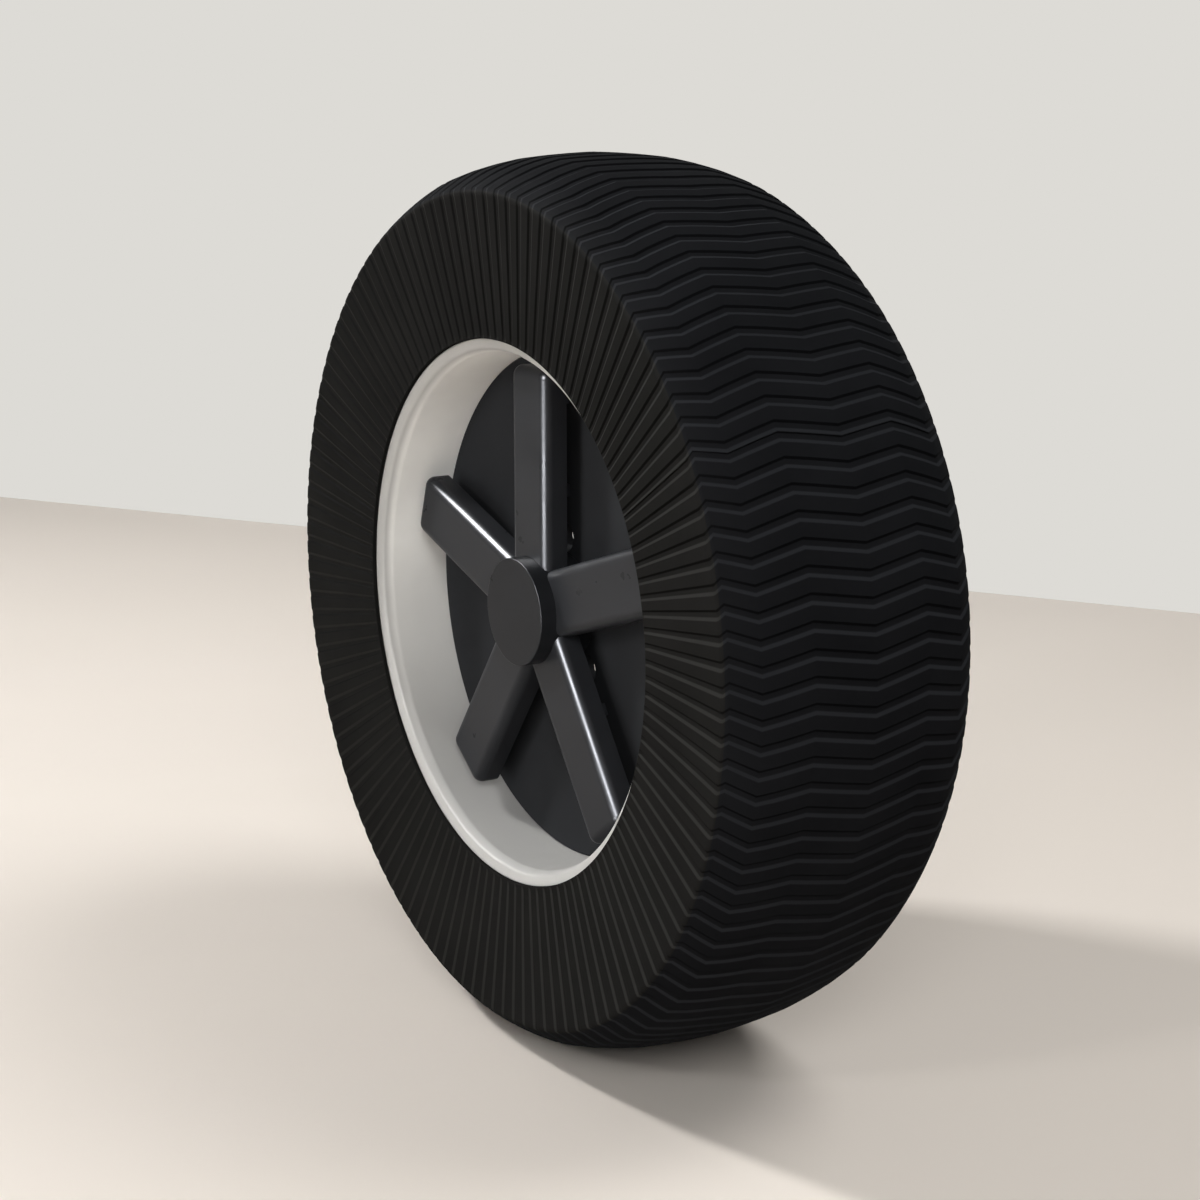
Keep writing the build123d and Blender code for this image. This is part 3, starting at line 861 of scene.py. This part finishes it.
class WHEEL_OT_hub_cap(bpy.types.Operator):
    """Build the hub cap"""

    bl_idname = "wheel.hub_cap"
    bl_label = "Hub Cap"

    def execute(self, context):
        sizes = context.scene.wheel_sizes
        front = CAP_LOW.y
        back = CAP_HIGH.y
        outline = [
            (front, 0.0, 0.0),
            (front, sizes.cap_radius, sizes.cap_edge),
            (back, sizes.cap_radius, CAP_BACK_EDGE),
            (back, CAP_HOLLOW, 0.0),
            (front + CAP_FACE, CAP_HOLLOW, 0.0),
            (front + CAP_FACE, 0.0, 0.0),
        ]
        mesh = turned("hub_cap_metal", outline, segments=128)
        tone = shade(context.scene.finishes.bars, CAP_SHADE)
        metal = satin_metal("cap_metal", tone, rough=0.31, metallic=0.16, gloss=0.04)
        finished("hub_cap_metal", mesh, metal, ["hub_cap"])
        return {"FINISHED"}


class WHEEL_OT_finishes(bpy.types.Operator):
    """Give the frame's own pieces their finishes"""

    bl_idname = "wheel.finishes"
    bl_label = "Finishes"

    def execute(self, context):
        disc = context.scene.finishes.disc
        steel = satin_metal("spring_steel", (0.42, 0.42, 0.43), rough=0.3)
        brass = satin_metal("valve_brass", (0.62, 0.46, 0.20), rough=0.28)
        black = rubber("valve_black", (0.018, 0.018, 0.018), bloom=1.1)
        pieces = {
            "wheel_disc": satin_metal("disc_metal", disc, rough=0.6, metallic=0.02, gloss=0.012),
            "disc_welds": satin_metal("weld_metal", (0.30, 0.29, 0.28), rough=0.55, metallic=0.6),
            "spoke_clips": steel,
            "hub_cap_ring": steel,
            "valve_body": black,
            "valve_stem": brass,
            "valve_core": brass,
            "valve_pin": brass,
            "valve_cap": black,
            "valve_cap_seal": black,
            "weight_tape": black,
            "balance_weights": satin_metal("weight_metal", (0.40, 0.40, 0.41), rough=0.42),
        }
        for name, material in pieces.items():
            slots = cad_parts[name].data.materials
            slots.clear()
            slots.append(material)
        return {"FINISHED"}


# Stage

# The lamps as (name, place, size, watts, whether it shows in glossy surfaces alone)
KEY_PLACE = (-1.86, -1.46, 2.02)
SECOND_PLACE = (0.47, -2.73, 1.30)
LAMPS = (
    ("key_softbox", KEY_PLACE, (0.34, 0.34), 70, False),
    ("key_sheen", KEY_PLACE, (1.1, 1.1), 850, True),
    ("second_softbox", SECOND_PLACE, (0.34, 0.34), 14, False),
    ("second_sheen", SECOND_PLACE, (1.1, 1.1), 850, True),
    ("low_sheen", (0.22, -1.5, -0.2), (0.9, 0.2), 100, True),
    ("top_softbox", (1.1, 1.5, 3.0), (1.6, 1.6), 68, False),
    ("side_softbox", (2.1, -1.3, 1.3), (1.0, 1.0), 30, False),
    ("front_strip", (-0.25, -2.6, 0.12), (0.3, 0.8), 6, False),
)
# Level directions: to the line where the floor ends, and along that line
TO_WALL = Vector((-0.534, 0.846, 0))
ALONG_WALL = Vector((0.846, 0.534, 0))
# The backdrop's light on everything but the camera and glossy surfaces, which see it whole
BACKDROP_LIGHT = 0.20


def facing(place, towards):
    """The turn of a lamp or a camera that looks from its place to a point."""
    return (Vector(towards) - Vector(place)).to_track_quat("-Z", "Y").to_euler()


def lamp(name, place, size, power, sheen_only):
    """A soft lamp that looks at the wheel. A sheen lamp shows in glossy surfaces alone."""
    data = bpy.data.lights.new(name, "AREA")
    data.shape = "RECTANGLE"
    data.size, data.size_y = size
    data.energy = power
    light = placed(name, data)
    light.location = place
    light.visible_camera = False
    light.visible_diffuse = not sheen_only
    light.rotation_euler = facing(place, (0, 0, 0))


class WHEEL_OT_stage(bpy.types.Operator):
    """Set up the floor, the backdrop, the lamps and the camera"""

    bl_idname = "wheel.stage"
    bl_label = "Stage"

    def execute(self, context):
        stage = context.scene.stage_sizes
        tones = context.scene.finishes
        work = bmesh.new()
        corners = []
        for reach, across in ((stage.wall, -1), (stage.wall, 1), (-stage.room, 1), (-stage.room, -1)):
            place = TO_WALL * reach + ALONG_WALL * across * stage.room
            corners.append(work.verts.new((place.x, place.y, TYRE_LOW.z)))
        face = work.faces.new(corners)
        face.normal_update()
        if face.normal.z < 0:
            face.normal_flip()
        mesh = mesh_of(work, "pale_floor")
        mesh.materials.append(plain_stage("floor_paint", tones.floor))
        sweep = placed("pale_floor", mesh)

        for name, place, size, power, sheen_only in LAMPS:
            lamp(name, place, size, power, sheen_only)

        world = bpy.data.worlds.new("studio")
        world.use_nodes = True
        context.scene.world = world
        tree = world.node_tree
        background = tree.nodes["Background"]
        background.inputs["Color"].default_value = (*tones.wall, 1)
        rays = tree.nodes.new("ShaderNodeLightPath").outputs
        seen = maths(tree, "MAXIMUM", rays["Is Camera Ray"], rays["Is Glossy Ray"])
        level = between(tree, seen, low=BACKDROP_LIGHT, high=1.0, span=(0, 1))
        tree.links.new(level, background.inputs["Strength"])

        data = bpy.data.cameras.new("camera")
        data.angle = stage.field_of_view
        camera = placed("camera", data)
        camera.location = stage.camera_place
        camera.rotation_euler = facing(stage.camera_place, stage.camera_target)
        context.scene.camera = camera
        context.scene.view_settings.view_transform = "Standard"
        return {"FINISHED"}


class WHEEL_PT_panel(bpy.types.Panel):
    """The sidebar panel that lists the pieces"""

    bl_idname = "WHEEL_PT_panel"
    bl_label = "Winter Tyre"
    bl_space_type = "VIEW_3D"
    bl_region_type = "UI"
    bl_category = "Winter Tyre"

    def draw(self, context):
        layout = self.layout
        for step in STEPS:
            layout.operator(step.bl_idname)


STEPS = (
    WHEEL_OT_tyre, WHEEL_OT_barrel, WHEEL_OT_bars, WHEEL_OT_hub_cap, WHEEL_OT_finishes, WHEEL_OT_stage,
)
GROUPS = {
    "tyre_sizes": TyreSizes,
    "wheel_sizes": WheelSizes,
    "finishes": Finishes,
    "stage_sizes": StageSizes,
}


def register():
    for group in GROUPS.values():
        bpy.utils.register_class(group)
    for step in STEPS:
        bpy.utils.register_class(step)
    bpy.utils.register_class(WHEEL_PT_panel)
    for name, group in GROUPS.items():
        setattr(bpy.types.Scene, name, PointerProperty(type=group))


def unregister():
    for name in GROUPS:
        delattr(bpy.types.Scene, name)
    bpy.utils.unregister_class(WHEEL_PT_panel)
    for step in reversed(STEPS):
        bpy.utils.unregister_class(step)
    for group in reversed(list(GROUPS.values())):
        bpy.utils.unregister_class(group)


def main():
    register()
    bpy.ops.wheel.tyre()
    bpy.ops.wheel.barrel()
    bpy.ops.wheel.bars()
    bpy.ops.wheel.hub_cap()
    bpy.ops.wheel.finishes()
    bpy.ops.wheel.stage()


if __name__ == "__main__":
    main()
